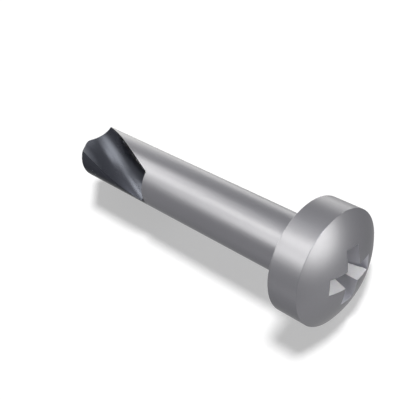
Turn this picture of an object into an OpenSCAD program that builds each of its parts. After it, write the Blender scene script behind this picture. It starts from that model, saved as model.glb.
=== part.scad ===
// Self drilling screw with a domed pan head, a cross recess and a two flute drill point.
// The screw lies along X with its head at +X. The origin is the middle of the flat
// face under the head. Sizes are in millimetres and angles in degrees.

/* [Head] */

// Outside diameter of the head
head_d = 5.6; // [5:0.1:6.4]

// Height of the head from its flat underside to the top of the dome
head_h = 2.4; // [2.2:0.05:3]

// Radius of the domed top
dome_r = 5; // [4:0.1:8]

// Radius in the corner between the head and the shank
neck_r = 0.1; // [0.05:0.01:0.3]

/* [Cross recess] */

// Span of the cross over two opposite arms, level with the top of the dome
recess_w = 3; // [2.6:0.05:3.4]

// Width of one arm, level with the top of the dome
arm_w = 0.87; // [0.7:0.01:1.1]

// Depth of the recess in the middle, from the top of the dome
recess_h = 1.8; // [1.4:0.05:2]

// Angle of the arm ends, which lean towards the axis
end_angle = 26.5; // [20:0.5:32]

// Angle of the arm sides, which lean towards the middle of the arm
side_angle = 10; // [6:0.5:12]

// Angle of the hollow floor of the recess
floor_angle = 28; // [10:1:35]

// Angle that the cross is turned by, around the screw
cross_angle = -27; // [-45:1:45]

/* [Shank] */

// Diameter of the shank and of the lands of the drill point
shank_d = 2.9; // [2.6:0.05:3.3]

// Length from the flat face under the head to the very tip
screw_l = 16; // [13:0.5:38]

/* [Drill point] */

// Length of the drill point, from the tip to the wall that ends the flutes
point_l = 6.42; // [5:0.1:8]

// Angle of the cone at the tip, measured across
tip_angle = 90; // [80:1:118]

// Radius of the hollow of one flute
flute_r = 1.29; // [1.1:0.01:1.5]

// Thickness of the metal between the flutes, level with the shoulder of the tip
web_t = 0.72; // [0.5:0.02:1.1]

// Angle of the flutes' floors, which rise towards the head
web_angle = 3.65; // [0:0.05:4.5]

// Length along the screw over which a flute makes one full turn
flute_lead = 26; // [20:1:60]

// Angle of the first flute around the screw, level with the shoulder of the tip
flute_angle = 83.5; // [0:0.5:180]

// Length of the corner that stands at the far side of each flute, against its end wall
corner_l = 0.44; // [0.2:0.02:0.8]

// Width of that corner around the shank
corner_w = 0.56; // [0.3:0.02:0.8]

/* [Hidden] */

$fn = 96;
joint = 0.01;
clear = 1;

// Everything is turned from local Z to the screw's own X axis
shank_r = shank_d / 2;
tip_h = shank_r / tan(tip_angle / 2);
shoulder_x = tip_h - screw_l;
flute_end_x = point_l - screw_l;

// One flute is a row of flat sections, each an arc closed well outside the shank
flutes = 2;
arc_steps = 20;
arc_half = 66;
station_gap = 0.2;
flute_from_x = -screw_l - station_gap;
stations = ceil((flute_end_x - flute_from_x) / station_gap);
flute_out_r = 2 * shank_r;
flute_out_w = flute_r * sin(arc_half);

function station_x(i) = flute_from_x + (flute_end_x - flute_from_x) * i / stations;
function root_r(x) = web_t / 2 + tan(web_angle) * (x - shoulder_x);
function flute_mid(x) = flute_angle + 360 * (x - shoulder_x) / flute_lead;

// Angle from the middle of a flute to its edge on the shank
function flute_half(x) =
    let (c = root_r(x) + flute_r)
    acos((shank_r * shank_r + c * c - flute_r * flute_r) / (2 * shank_r * c));

function arc_points(x) = [
    for (i = [0 : arc_steps])
        let (a = arc_half * (2 * i / arc_steps - 1))
        [root_r(x) + flute_r * (1 - cos(a)), flute_r * sin(a)]
];

function section(x) = concat(
    arc_points(x),
    [[flute_out_r, flute_out_w], [flute_out_r, -flute_out_w]]
);

function placed(x) = [
    for (p = section(x))
        [
            x,
            p[0] * cos(flute_mid(x)) - p[1] * sin(flute_mid(x)),
            p[0] * sin(flute_mid(x)) + p[1] * cos(flute_mid(x))
        ]
];

// A skin through equal rings of points that follow each other along X
module skin(rings) {
    n = len(rings[0]);
    last = len(rings) - 1;
    polyhedron(
        points = [for (r = rings) each r],
        faces = concat(
            [[for (j = [n - 1 : -1 : 0]) j]],
            [
                for (i = [0 : last - 1])
                    for (j = [0 : n - 1])
                        [i * n + j, (i + 1) * n + (j + 1) % n, (i + 1) * n + j]
            ],
            [
                for (i = [0 : last - 1])
                    for (j = [0 : n - 1])
                        [i * n + j, i * n + (j + 1) % n, (i + 1) * n + (j + 1) % n]
            ],
            [[for (j = [0 : n - 1]) last * n + j]]
        )
    );
}

// The corner is a wedge that starts this far around and widens past the flute's edge
module corner() {
    start = flute_mid(flute_end_x) + flute_half(flute_end_x) - corner_w / shank_r * 180 / PI;
    translate([flute_end_x, 0, 0])
        rotate([start + 90, 0, 0])
            translate([0, 0, -flute_out_r])
                linear_extrude(height = flute_out_r)
                    polygon([[clear, 0], [0, 0], [-2 * corner_l, 2 * corner_w], [clear, 2 * corner_w]]);
}

module flute() {
    difference() {
        skin([for (i = [0 : stations]) placed(station_x(i))]);
        corner();
    }
}

module head() {
    intersection() {
        cylinder(h = head_h, d = head_d);
        translate([0, 0, head_h - dome_r])
            sphere(r = dome_r);
    }
}

module neck() {
    rotate_extrude()
        difference() {
            translate([0, -neck_r])
                square([shank_r + neck_r, neck_r + joint]);
            translate([shank_r + neck_r, -neck_r])
                circle(r = neck_r);
        }
}

module shank() {
    translate([0, 0, shoulder_x])
        cylinder(h = joint - shoulder_x, d = shank_d);
    translate([0, 0, -screw_l])
        cylinder(h = tip_h, r1 = 0, r2 = shank_r);
}

// A wedge that narrows with depth, seen from the side
module wedge(top_w, lean_angle) {
    top_half = top_w / 2 + clear * tan(lean_angle);
    low_half = top_w / 2 - recess_h * tan(lean_angle);
    polygon([[-top_half, clear], [top_half, clear], [low_half, -recess_h], [-low_half, -recess_h]]);
}

module arm_pair() {
    intersection() {
        rotate([90, 0, 0])
            linear_extrude(height = 2 * head_d, center = true)
                wedge(recess_w, end_angle);
        rotate([90, 0, 90])
            linear_extrude(height = 2 * head_d, center = true)
                wedge(arm_w, side_angle);
    }
}

// The cross is turned the same way around the screw as the flutes are
module recess() {
    translate([0, 0, head_h])
        rotate([0, 0, cross_angle])
            intersection() {
                union() {
                    arm_pair();
                    rotate([0, 0, 90])
                        arm_pair();
                }
                translate([0, 0, -recess_h])
                    cylinder(h = recess_h + clear, r1 = 0, r2 = (recess_h + clear) / tan(floor_angle));
            }
}

module screw() {
    color("#7d7f84")
        difference() {
            rotate([0, 90, 0])
                difference() {
                    union() {
                        head();
                        neck();
                        shank();
                    }
                    recess();
                }
            for (k = [0 : flutes - 1])
                rotate([k * 360 / flutes, 0, 0])
                    flute();
        }
}

screw();
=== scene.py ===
import math

import bmesh
import bpy
from mathutils import Matrix, Vector


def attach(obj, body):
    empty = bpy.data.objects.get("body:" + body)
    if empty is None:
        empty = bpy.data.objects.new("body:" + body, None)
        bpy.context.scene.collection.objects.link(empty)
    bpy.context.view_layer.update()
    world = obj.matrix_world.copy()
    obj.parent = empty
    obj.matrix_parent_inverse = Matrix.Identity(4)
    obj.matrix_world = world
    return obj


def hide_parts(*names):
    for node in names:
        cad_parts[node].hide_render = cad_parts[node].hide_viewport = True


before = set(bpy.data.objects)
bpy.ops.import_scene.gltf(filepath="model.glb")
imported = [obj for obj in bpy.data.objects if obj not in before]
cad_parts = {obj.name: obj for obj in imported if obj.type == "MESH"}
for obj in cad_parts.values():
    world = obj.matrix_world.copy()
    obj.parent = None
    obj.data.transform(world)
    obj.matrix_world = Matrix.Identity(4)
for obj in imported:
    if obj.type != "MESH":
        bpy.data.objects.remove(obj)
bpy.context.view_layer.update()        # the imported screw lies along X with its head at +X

mm = 0.001
scene = bpy.context.scene
scene.view_settings.view_transform = "Standard"
print("frame loaded:", ", ".join(sorted(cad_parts)))


def newGroup(name, inputs, outputs):
    group = bpy.data.node_groups.new(name, "ShaderNodeTree")
    for socketName, kind in inputs:
        group.interface.new_socket(name=socketName, in_out="INPUT", socket_type=kind)
    for socketName, kind in outputs:
        group.interface.new_socket(name=socketName, in_out="OUTPUT", socket_type=kind)
    start = group.nodes.new("NodeGroupInput")
    end = group.nodes.new("NodeGroupOutput")
    return group, start.outputs, end.inputs


def addNode(tree, kind, inputs=None, **settings):
    node = tree.nodes.new(kind)
    for key, value in settings.items():
        setattr(node, key, value)
    for key, value in (inputs or {}).items():
        if isinstance(value, bpy.types.NodeSocket):
            tree.links.new(value, node.inputs[key])
        else:
            node.inputs[key].default_value = value
    return node


def maths(tree, operation, first, second):
    return addNode(tree, "ShaderNodeMath", {0: first, 1: second}, operation=operation).outputs[0]


platingGrain = {
    "grainStretch": (1, 1, 1),       # below 1 draws a pattern out along the screw
    "grainDetail": 3.0,
    "cloudStretch": (0.6, 1, 1),
    "cloudSize": 420.0,              # sizes are in spots per metre, the grain's is with each finish
    "lineStretch": (0.03, 1, 1),
    "lineSize": 5200.0,
    "softDetail": 2.0,               # of the clouds and the lines
    "roughness": 0.55,
}


def stretchedNoise(tree, place, stretch, size, detail):
    scaled = addNode(tree, "ShaderNodeVectorMath", {0: place, 1: stretch}, operation="MULTIPLY")
    values = {"Vector": scaled.outputs[0], "Scale": size, "Detail": detail,
              "Roughness": platingGrain["roughness"]}
    return addNode(tree, "ShaderNodeTexNoise", values).outputs["Fac"]


def makePlatingGrain():
    # fine grain of a metal surface with faint drawing lines along the screw, used by every finish
    group, inputs, outputs = newGroup(
        "platingGrain",
        [("Colour", "NodeSocketColor"), ("Tone Spread", "NodeSocketFloat"),
         ("Roughness", "NodeSocketFloat"), ("Roughness Spread", "NodeSocketFloat"),
         ("Grain Size", "NodeSocketFloat"), ("Line Height", "NodeSocketFloat")],
        [("Colour", "NodeSocketColor"), ("Roughness", "NodeSocketFloat"),
         ("Height", "NodeSocketFloat")])
    place = addNode(group, "ShaderNodeTexCoord").outputs["Object"]
    g = platingGrain
    grain = stretchedNoise(group, place, g["grainStretch"], inputs["Grain Size"], g["grainDetail"])
    cloud = stretchedNoise(group, place, g["cloudStretch"], g["cloudSize"], g["softDetail"])
    lines = stretchedNoise(group, place, g["lineStretch"], g["lineSize"], g["softDetail"])
    # each noise lies around a half, so two of them less one lie around zero
    tone = maths(group, "SUBTRACT", maths(group, "ADD", grain, cloud), 1.0)
    tone = maths(group, "ADD", maths(group, "MULTIPLY", tone, inputs["Tone Spread"]), 1.0)
    shade = addNode(group, "ShaderNodeVectorMath", {0: inputs["Colour"]}, operation="SCALE")
    group.links.new(tone, shade.inputs["Scale"])
    group.links.new(shade.outputs[0], outputs["Colour"])
    dull = maths(group, "SUBTRACT", maths(group, "ADD", cloud, lines), 1.0)
    dull = maths(group, "MULTIPLY", dull, inputs["Roughness Spread"])
    group.links.new(maths(group, "ADD", inputs["Roughness"], dull), outputs["Roughness"])
    bumps = maths(group, "ADD", grain, maths(group, "MULTIPLY", lines, inputs["Line Height"]))
    group.links.new(bumps, outputs["Height"])
    return group


zincPlating = {
    "colour": (0.153, 0.1525, 0.166, 1),
    "edgeTint": (0.6, 0.6, 0.6, 1),
    "metal": 1.0,
    "roughness": 0.38,
    "toneSpread": 0.05,
    "roughnessSpread": 0.05,
    "grainSize": 7000.0,
    "lineHeight": 0.4,
    "bumpHeight": 0.0002 * mm,
}

hardenedPoint = {
    "colour": (0.0378, 0.0400, 0.0490, 1),
    "edgeTint": (0.4, 0.4, 0.4, 1),
    "metal": 0.92,           # the rest is a thin matt oxide
    "roughness": 0.28,
    "toneSpread": 0.08,
    "roughnessSpread": 0.04,
    "grainSize": 9000.0,
    "lineHeight": 0.0,
    "bumpHeight": 0.0001 * mm,
}

# the plating inside the driver recess, brightened as painted light so that the recess hides its own
# shade
recessPlatingWithPaintedLight = {
    "colour": (0.333, 0.333, 0.365, 1),   # the plating's tint at about twice its brightness: painted light that stands in for the light the recess walls shade off
    "edgeTint": (0.7, 0.7, 0.7, 1),
    "metal": 1.0,
    "roughness": 0.34,
    "toneSpread": 0.04,
    "roughnessSpread": 0.04,
    "grainSize": 7000.0,
    "lineHeight": 0.1,
    "bumpHeight": 0.0004 * mm,
}


def metalFinish(name, finish, grainGroup):
    material = bpy.data.materials.new(name)
    material.use_nodes = True
    tree = material.node_tree
    shader = tree.nodes["Principled BSDF"]
    grain = addNode(tree, "ShaderNodeGroup", node_tree=grainGroup)
    for socketName, key in (("Colour", "colour"), ("Tone Spread", "toneSpread"),
                            ("Roughness", "roughness"), ("Roughness Spread", "roughnessSpread"),
                            ("Grain Size", "grainSize"), ("Line Height", "lineHeight")):
        grain.inputs[socketName].default_value = finish[key]
    bump = addNode(tree, "ShaderNodeBump", {"Height": grain.outputs["Height"],
                                            "Distance": finish["bumpHeight"], "Strength": 1.0})
    tree.links.new(grain.outputs["Colour"], shader.inputs["Base Color"])
    tree.links.new(grain.outputs["Roughness"], shader.inputs["Roughness"])
    tree.links.new(bump.outputs["Normal"], shader.inputs["Normal"])
    shader.inputs["Metallic"].default_value = finish["metal"]
    shader.inputs["Specular Tint"].default_value = finish["edgeTint"]
    return material


grainGroup = makePlatingGrain()
finishes = [metalFinish("zincPlating", zincPlating, grainGroup),
            metalFinish("hardenedPoint", hardenedPoint, grainGroup),
            metalFinish("recessPlatingWithPaintedLight", recessPlatingWithPaintedLight, grainGroup)]
print("finishes made:", ", ".join(m.name for m in finishes))


# the screw is drawn in millimetres and degrees, and brought to metres at the end
screwBlank = {
    "length": 16.0,          # under the head, to the tip
    "shankRadius": 1.45,
    "neckRadius": 0.1,
    "headRadius": 2.8,
    "headHeight": 2.4,
    "domeRadius": 5.0,
    "rimRound": 0.03,        # on the head's two rims
    "stepsAround": 240,
    "stepsOnTip": 12,        # from here on, steps along each stretch of the profile
    "stepsOnPoint": 26,
    "stepsOnShank": 46,
    "stepsInNeck": 8,
    "stepsUnderHead": 6,
    "stepsOnRim": 5,
    "stepsOnHeadSide": 8,
    "stepsOnDome": 30,
}

drillFlute = {
    "endX": -9.58,           # the wall that ends the flutes
    "runOut": 0.2,           # how far the cutter starts before the tip
    "hollowRadius": 1.29,
    "webHalf": 0.36,         # level with the shoulder of the tip
    "webLean": 3.65,
    "lead": 26.0,            # length of one full turn
    "angle": 83.5,           # around the screw, level with the shoulder of the tip
    "arcHalf": 66.0,
    "arcSteps": 48,
    "stationGap": 0.09,
    "cornerLength": 0.44,    # of the corner left standing at the flute's end
    "cornerWidth": 0.56,
}

driverRecess = {
    "span": 3.0,             # over two arms, level with the top of the dome
    "armWidth": 0.87,
    "depth": 1.8,
    "endAngle": 26.5,
    "sideAngle": 10.0,
    "floorAngle": 28.0,
    "floorSteps": 96,
    "turn": -27.0,           # around the screw
}

cleanMesh = {
    "weldDistance": 1e-5,
    "onSurface": 0.003,      # how near the shank's surface counts as on it
    "sharpAngle": 28,        # edges that turn by more than this are shaded sharp
    "faceWeight": 90,        # above 50, large faces lead the shading
    "hollowAngle": 12,       # a face within this of the flute's true slope belongs to it
    "slopeStep": 1e-3,
}

greyIndex, darkIndex, recessIndex = 0, 1, 2      # places in the list of finishes
spare = 1.0                  # how far the cutters stand out past the blank
tipX = -screwBlank["length"]
shoulderX = tipX + screwBlank["shankRadius"]


def meshPiece(name, points, faces, finishIndex):
    mesh = bpy.data.meshes.new(name)
    mesh.from_pydata([tuple(p) for p in points], [], faces)
    for finish in finishes:
        mesh.materials.append(finish)
    mesh.polygons.foreach_set("material_index", [finishIndex] * len(mesh.polygons))
    shape = bmesh.new()
    shape.from_mesh(mesh)
    bmesh.ops.recalc_face_normals(shape, faces=shape.faces)
    shape.to_mesh(mesh)
    shape.free()
    piece = bpy.data.objects.new(name, mesh)
    scene.collection.objects.link(piece)
    return piece


def arc(centreX, centreR, radius, fromAngle, toAngle, steps):
    angles = [math.radians(fromAngle + (toAngle - fromAngle) * i / steps) for i in range(steps + 1)]
    return [(centreX + radius * math.cos(a), centreR + radius * math.sin(a)) for a in angles]


def evenSteps(first, last, count):
    return [tuple(Vector(first).lerp(Vector(last), i / count)) for i in range(1, count)]


def blankProfile():
    # points of x and radius, from the tip to the middle of the dome
    b = screwBlank
    shank, neck, head, dome, rim = (b[k] for k in ("shankRadius", "neckRadius", "headRadius",
                                                   "domeRadius", "rimRound"))
    domeX = b["headHeight"] - dome
    tip, shoulder, fluteEnd = (tipX, 0.0), (shoulderX, shank), (drillFlute["endX"], shank)
    profile = [tip] + evenSteps(tip, shoulder, b["stepsOnTip"]) + [shoulder]
    profile += evenSteps(shoulder, fluteEnd, b["stepsOnPoint"]) + [fluteEnd]
    profile += evenSteps(fluteEnd, (-neck, shank), b["stepsOnShank"])
    profile += arc(-neck, shank + neck, neck, -90, 0, b["stepsInNeck"])
    profile += evenSteps((0, shank + neck), (0, head - rim), b["stepsUnderHead"])
    profile += arc(rim, head - rim, rim, 180, 90, b["stepsOnRim"])
    # the small circle of the outer rim touches the side and the dome
    rimX = domeX + math.sqrt((dome - rim) ** 2 - (head - rim) ** 2)
    rimAngle = math.degrees(math.atan2(head - rim, rimX - domeX))
    profile += evenSteps((rim, head), (rimX, head), b["stepsOnHeadSide"])
    profile += arc(rimX, head - rim, rim, 90, rimAngle, b["stepsOnRim"])
    profile += arc(domeX, 0, dome, rimAngle, 0, b["stepsOnDome"])[1:]
    return profile


def turnBlank():
    steps = screwBlank["stepsAround"]
    profile = blankProfile()
    points, rings = [], []
    for x, radius in profile:
        if radius < cleanMesh["weldDistance"]:       # one point on the axis
            rings.append([len(points)])
            points.append((x, 0, 0))
            continue
        rings.append(list(range(len(points), len(points) + steps)))
        for i in range(steps):
            a = 2 * math.pi * i / steps
            points.append((x, radius * math.cos(a), radius * math.sin(a)))
    faces = []
    for one, two in zip(rings, rings[1:]):
        for i in range(steps):
            j = (i + 1) % steps
            if len(one) == 1:
                faces.append((one[0], two[i], two[j]))
            elif len(two) == 1:
                faces.append((one[i], two[0], one[j]))
            else:
                faces.append((one[i], two[i], two[j], one[j]))
    return meshPiece("drillScrew", points, faces, greyIndex)


def fluteMiddle(x):
    return math.radians(drillFlute["angle"] + 360 * (x - shoulderX) / drillFlute["lead"])


def fluteRoot(x):
    return drillFlute["webHalf"] + math.tan(math.radians(drillFlute["webLean"])) * (x - shoulderX)


def fluteHalf(x):
    # angle from a flute's middle to its edge on the shank
    r, hollow = screwBlank["shankRadius"], drillFlute["hollowRadius"]
    c = fluteRoot(x) + hollow
    return math.acos((r * r + c * c - hollow * hollow) / (2 * r * c))


def fluteCutter(turn):
    f = drillFlute
    outRadius = 2 * screwBlank["shankRadius"]
    outHalf = f["hollowRadius"] * math.sin(math.radians(f["arcHalf"]))
    fromX = tipX - f["runOut"]
    stations = math.ceil((f["endX"] - fromX) / f["stationGap"])
    points = []
    for s in range(stations + 1):
        x = fromX + (f["endX"] - fromX) * s / stations
        section = []
        for i in range(f["arcSteps"] + 1):
            a = math.radians(f["arcHalf"] * (2 * i / f["arcSteps"] - 1))
            section.append((fluteRoot(x) + f["hollowRadius"] * (1 - math.cos(a)),
                            f["hollowRadius"] * math.sin(a)))
        section += [(outRadius, outHalf), (outRadius, -outHalf)]
        middle = fluteMiddle(x) + turn
        points += [(x, u * math.cos(middle) - v * math.sin(middle),
                    u * math.sin(middle) + v * math.cos(middle)) for u, v in section]
    n = len(section)
    faces = [tuple(range(n)), tuple(range(stations * n, (stations + 1) * n))]
    for s in range(stations):
        for i in range(n):
            a, b = s * n + i, s * n + (i + 1) % n
            faces += [(a, b, b + n), (a, b + n, a + n)]
    flute = meshPiece("fluteCutter", points, faces, darkIndex)

    # a small corner is left standing at the far side of the flute's end, and its block is drawn
    # at twice its size, so that it reaches past the flute's edge
    start = fluteMiddle(f["endX"]) + fluteHalf(f["endX"]) - f["cornerWidth"] / screwBlank["shankRadius"]
    outline = [(spare, 0), (0, 0), (-2 * f["cornerLength"], 2 * f["cornerWidth"]),
               (spare, 2 * f["cornerWidth"])]
    corner = prism("standingCorner", outline, 0, outRadius, darkIndex)
    corner.data.transform(Matrix.Translation((f["endX"], 0, 0)) @ Matrix.Rotation(start + turn, 4, "X"))
    cutAway(flute, corner, "DIFFERENCE")
    return flute


def prism(name, outline, low, high, finishIndex):
    # outline points are along the screw and around it, low and high are away from its axis
    n = len(outline)
    points = [(x, low, v) for x, v in outline] + [(x, high, v) for x, v in outline]
    faces = [tuple(range(n)), tuple(range(n, 2 * n))]
    faces += [(i, (i + 1) % n, n + (i + 1) % n, n + i) for i in range(n)]
    return meshPiece(name, points, faces, finishIndex)


def cutAway(piece, cutter, operation):
    boolean = piece.modifiers.new("cut", "BOOLEAN")
    boolean.operation = operation
    boolean.solver = "EXACT"
    boolean.object = cutter
    bpy.context.view_layer.objects.active = piece
    bpy.ops.object.modifier_apply(modifier=boolean.name)
    used = cutter.data
    bpy.data.objects.remove(cutter)
    bpy.data.meshes.remove(used)


def recessArm(turn):
    # a block that narrows with depth in both directions
    d = driverRecess
    corners = ((-1, -1), (1, -1), (1, 1), (-1, 1))
    points = []
    for height in (-d["depth"], spare):
        halfLength = d["span"] / 2 + height * math.tan(math.radians(d["endAngle"]))
        halfWidth = d["armWidth"] / 2 + height * math.tan(math.radians(d["sideAngle"]))
        points += [(height, u * halfLength, v * halfWidth) for u, v in corners]
    faces = [(0, 1, 2, 3), (4, 5, 6, 7)]
    faces += [(i, (i + 1) % 4, 4 + (i + 1) % 4, 4 + i) for i in range(4)]
    arm = meshPiece("recessArm", points, faces, recessIndex)
    arm.data.transform(Matrix.Rotation(math.radians(turn), 4, "X"))
    return arm


def recessCutter():
    d = driverRecess
    cutter = recessArm(0)
    cutAway(cutter, recessArm(90), "UNION")
    steps = d["floorSteps"]
    wide = (d["depth"] + spare) / math.tan(math.radians(d["floorAngle"]))
    around = [2 * math.pi * i / steps for i in range(steps)]
    ring = [(spare, wide * math.cos(a), wide * math.sin(a)) for a in around]
    faces = [(i, (i + 1) % steps, steps) for i in range(steps)] + [tuple(range(steps))]
    cone = meshPiece("recessFloor", ring + [(-d["depth"], 0, 0)], faces, recessIndex)
    cutAway(cutter, cone, "INTERSECT")
    cutter.data.transform(Matrix.Translation((screwBlank["headHeight"], 0, 0))
                          @ Matrix.Rotation(math.radians(d["turn"]), 4, "X"))
    return cutter


def weldPoints(piece):
    # the cuts leave a few points doubled where the arms of the cross meet
    shape = bmesh.new()
    shape.from_mesh(piece.data)
    bmesh.ops.remove_doubles(shape, verts=shape.verts, dist=cleanMesh["weldDistance"])
    shape.to_mesh(piece.data)
    shape.free()


def isDarkLand(centre):
    # the tip and the land that follows the first flute are left dark, the other land is plated
    if centre.x < shoulderX:
        return True
    around = math.atan2(centre.z, centre.y)
    past = (around - fluteMiddle(centre.x)) % (2 * math.pi)
    return past < math.pi


def paintLands(piece):
    for face in piece.data.polygons:
        centre = face.center
        offShank = abs(math.hypot(centre.y, centre.z) - screwBlank["shankRadius"])
        outside = offShank < cleanMesh["onSurface"] or centre.x < shoulderX
        if centre.x < drillFlute["endX"] and outside and isDarkLand(centre):
            face.material_index = darkIndex


def hollowDepth(place):
    # how far a point is from the middle line of the nearer flute's hollow
    angle = math.atan2(place.z, place.y) - fluteMiddle(place.x)
    radius = math.hypot(place.y, place.z)
    u, v = abs(radius * math.cos(angle)), radius * math.sin(angle)
    return math.hypot(u - fluteRoot(place.x) - drillFlute["hollowRadius"], v)


def hollowNormal(place):
    # the true normal of a flute's hollow, from how the depth changes around the point
    step = cleanMesh["slopeStep"]
    slope = [hollowDepth(place + axis * step) - hollowDepth(place - axis * step)
             for axis in (Vector((1, 0, 0)), Vector((0, 1, 0)), Vector((0, 0, 1)))]
    return -Vector(slope).normalized()


def softenShading(piece):
    mesh = piece.data
    mesh.polygons.foreach_set("use_smooth", [True] * len(mesh.polygons))
    mesh.set_sharp_from_angle(angle=math.radians(cleanMesh["sharpAngle"]))
    weighted = piece.modifiers.new("evenShading", "WEIGHTED_NORMAL")
    weighted.keep_sharp = True
    weighted.weight = cleanMesh["faceWeight"]
    bpy.context.view_layer.objects.active = piece
    bpy.ops.object.modifier_apply(modifier=weighted.name)

    # the cuts leave uneven triangles in the flutes, so their normals come from the shape itself
    normals = [corner.vector.copy() for corner in mesh.corner_normals]
    inHollow = screwBlank["shankRadius"] - cleanMesh["onSurface"]
    nearSlope = math.cos(math.radians(cleanMesh["hollowAngle"]))
    known = {}
    for face in mesh.polygons:
        centre = face.center
        radius = math.hypot(centre.y, centre.z)
        if centre.x > drillFlute["endX"] or radius > inHollow:
            continue
        if hollowNormal(centre).dot(face.normal) < nearSlope:
            continue
        for corner in face.loop_indices:
            vertex = mesh.loops[corner].vertex_index
            if vertex not in known:
                known[vertex] = hollowNormal(mesh.vertices[vertex].co)
            normals[corner] = known[vertex]
    mesh.normals_split_custom_set(normals)


drillScrew = turnBlank()
print("blank turned:", len(drillScrew.data.polygons), "faces")
cutAway(drillScrew, recessCutter(), "DIFFERENCE")
print("driver recess cut:", len(drillScrew.data.polygons), "faces")
for fluteTurn in (0, math.pi):
    cutAway(drillScrew, fluteCutter(fluteTurn), "DIFFERENCE")
weldPoints(drillScrew)
print("flutes cut:", len(drillScrew.data.polygons), "faces")
paintLands(drillScrew)
softenShading(drillScrew)
drillScrew.data.transform(Matrix.Scale(mm, 4))
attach(drillScrew, "root")
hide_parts("screw")


paleFloor = {
    "height": -2.8 * mm,
    "halfWidth": 0.6,
    "colour": (0.62, 0.62, 0.62, 1),
    "roughness": 0.9,
    "glow": 0.40,            # added to what the camera sees, so that the lit floor shows as white
}


def seenDirectly(tree):
    path = addNode(tree, "ShaderNodeLightPath")
    seen = maths(tree, "MAXIMUM", path.outputs["Is Camera Ray"], path.outputs["Is Glossy Ray"])
    return maths(tree, "MAXIMUM", seen, path.outputs["Is Transmission Ray"])


def makeFloor():
    half, z = paleFloor["halfWidth"], paleFloor["height"]
    mesh = bpy.data.meshes.new("paleFloor")
    corners = [(-half, -half, z), (half, -half, z), (half, half, z), (-half, half, z)]
    mesh.from_pydata(corners, [], [(0, 1, 2, 3)])
    material = bpy.data.materials.new("paleFloor")
    material.use_nodes = True
    tree = material.node_tree
    shader = tree.nodes["Principled BSDF"]
    shader.inputs["Roughness"].default_value = paleFloor["roughness"]
    shader.inputs["Specular IOR Level"].default_value = 0.0
    shader.inputs["Emission Color"].default_value = (1, 1, 1, 1)
    shader.inputs["Base Color"].default_value = paleFloor["colour"]
    glow = maths(tree, "MULTIPLY", seenDirectly(tree), paleFloor["glow"])
    tree.links.new(glow, shader.inputs["Emission Strength"])
    mesh.materials.append(material)
    floor = bpy.data.objects.new("paleFloor", mesh)
    floor.visible_glossy = False     # the metal sees the white room below it, without its own shadow
    scene.collection.objects.link(floor)


makeFloor()
print("floor laid")


studio = {
    "roomLight": 0.15,              # what the room gives to matt surfaces
    "background": 1.0,              # what the camera and the metal see
    "keyFrom": (64.4, 74.5),        # azimuth and elevation seen from the screw, in degrees
    "keyStrength": 3.0,
    "keySpread": 13.0,              # degrees, softens the shadow's edge
    "lampColour": (1.0, 0.995, 0.92),
    "boxDistance": 0.6,
    # these boxes also light walls that other metal hides from them
    "throughMetal": ("farSide", "wallFill", "recessFill"),
}


def makeRoom():
    room = bpy.data.worlds.new("room")
    scene.world = room
    room.use_nodes = True
    tree = room.node_tree
    background = tree.nodes["Background"]
    background.inputs["Color"].default_value = (1, 1, 1, 1)
    strength = addNode(tree, "ShaderNodeMix", {0: seenDirectly(tree)}, data_type="FLOAT")
    strength.inputs[2].default_value = studio["roomLight"]
    strength.inputs[3].default_value = studio["background"]
    tree.links.new(strength.outputs[0], background.inputs["Strength"])


def directionTo(azimuth, elevation):
    a, e = math.radians(azimuth), math.radians(elevation)
    return Vector((math.cos(a) * math.cos(e), math.sin(a) * math.cos(e), math.sin(e)))


def makeKey():
    lamp = bpy.data.lights.new("key", "SUN")
    lamp.energy = studio["keyStrength"]
    lamp.angle = math.radians(studio["keySpread"])
    key = bpy.data.objects.new("key", lamp)
    key.rotation_euler = directionTo(*studio["keyFrom"]).to_track_quat("Z", "Y").to_euler()
    scene.collection.objects.link(key)


# these numbers come from a fitting program that compared renders of single boxes with the
# photograph's tones, and were rounded afterwards
softBoxes = {
    # azimuth and elevation of a box's two ends seen from the screw, its half width,
    # all in degrees, and its brightness
    "headFront": ((15, 16), (15, 16), 24, 3.6),
    "headFrontLow": ((8, 9), (8, 9), 24, 2.4),
    "floorBounce": ((-7, -65), (-7, -65), 35, 0.35),
    "overhead": ((-149, 61), (-138, 73), 7, 10.5),
    "overheadToTip": ((178, 18), (-138, 73), 7, 2.1),
    "overNearSide": ((-125, 45), (-125, 45), 11, 8.2),
    "overTip": ((178, 30), (178, 30), 16, 3.2),
    "overTipNear": ((-172, 32), (-172, 32), 16, 2.6),
    "overTipFar": ((163, 40), (163, 40), 7, 7.2),
    "pastTip": ((150, 0), (150, 0), 16, 3.8),
    "farSide": ((98, 10), (98, 10), 11, 3.2),
    "farSideLow": ((120, -3), (120, -3), 11, 2.2),
    "farStripLow": ((155, -9), (122, -17), 10, 3.5),
    "nearLow": ((-108, -14), (-108, -14), 7, 1.6),
    "wallFill": ((-170, -27), (-170, -27), 12, 1.1),
    "recessFill": ((-99, -8), (-99, -8), 12, 0.4),
}


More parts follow.
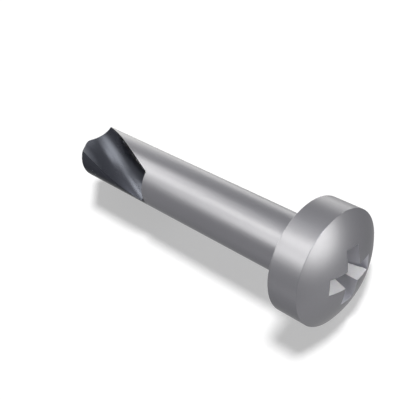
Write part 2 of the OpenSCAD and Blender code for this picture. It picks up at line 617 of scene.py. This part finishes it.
def makeSoftBox(name, firstEnd, otherEnd, halfWidth, brightness):
    distance = studio["boxDistance"]
    start, end = directionTo(*firstEnd), directionTo(*otherEnd)
    toward = (start + end).normalized()
    lamp = bpy.data.lights.new(name, "AREA")
    lamp.shape = "ELLIPSE"
    lamp.size = 2 * distance * math.tan(start.angle(end) / 2 + math.radians(halfWidth))
    lamp.size_y = 2 * distance * math.tan(math.radians(halfWidth))
    # watts that look this bright, from pi times the area of the ellipse
    lamp.energy = brightness * math.pi * math.pi * lamp.size * lamp.size_y / 4
    lamp.color = studio["lampColour"]
    lamp.use_shadow = False
    lamp.cycles.use_multiple_importance_sampling = name not in studio["throughMetal"]
    panel = bpy.data.objects.new(name, lamp)
    if firstEnd == otherEnd:         # a round box
        along = toward.orthogonal().normalized()
    else:
        along = (end - start).normalized()
    axes = Matrix((along, toward.cross(along), toward)).transposed().to_4x4()
    panel.matrix_world = Matrix.Translation(toward * distance) @ axes
    panel.visible_diffuse = False
    panel.visible_camera = False
    scene.collection.objects.link(panel)


makeRoom()
makeKey()
for boxName, box in softBoxes.items():
    makeSoftBox(boxName, *box)
print("lamps placed:", 1 + len(softBoxes))


# the camera is level for a screw that isn't turned around its axis, then turned with it
viewpoint = {
    "azimuth": 45.0,
    "elevation": 30.0,
    "turn": -27.0,
    "aim": (-6.8 * mm, 0, 0),
    "distance": 37.293 * mm,
    "viewAngle": 30.0,
    "clipStart": 1 * mm,
}


def makeCamera():
    a, e = math.radians(viewpoint["azimuth"]), math.radians(viewpoint["elevation"])
    back = Vector((math.sin(a) * math.cos(e), -math.cos(a) * math.cos(e), math.sin(e)))
    right = Vector((math.cos(a), math.sin(a), 0))
    axes = Matrix((right, back.cross(right), back)).transposed()
    axes = Matrix.Rotation(math.radians(viewpoint["turn"]), 3, "X") @ axes
    lens = bpy.data.cameras.new("camera")
    lens.angle = math.radians(viewpoint["viewAngle"])
    lens.clip_start = viewpoint["clipStart"]
    camera = bpy.data.objects.new("camera", lens)
    place = Vector(viewpoint["aim"]) + axes.col[2] * viewpoint["distance"]
    camera.matrix_world = Matrix.Translation(place) @ axes.to_4x4()
    scene.collection.objects.link(camera)
    scene.camera = camera


makeCamera()
print("camera set")
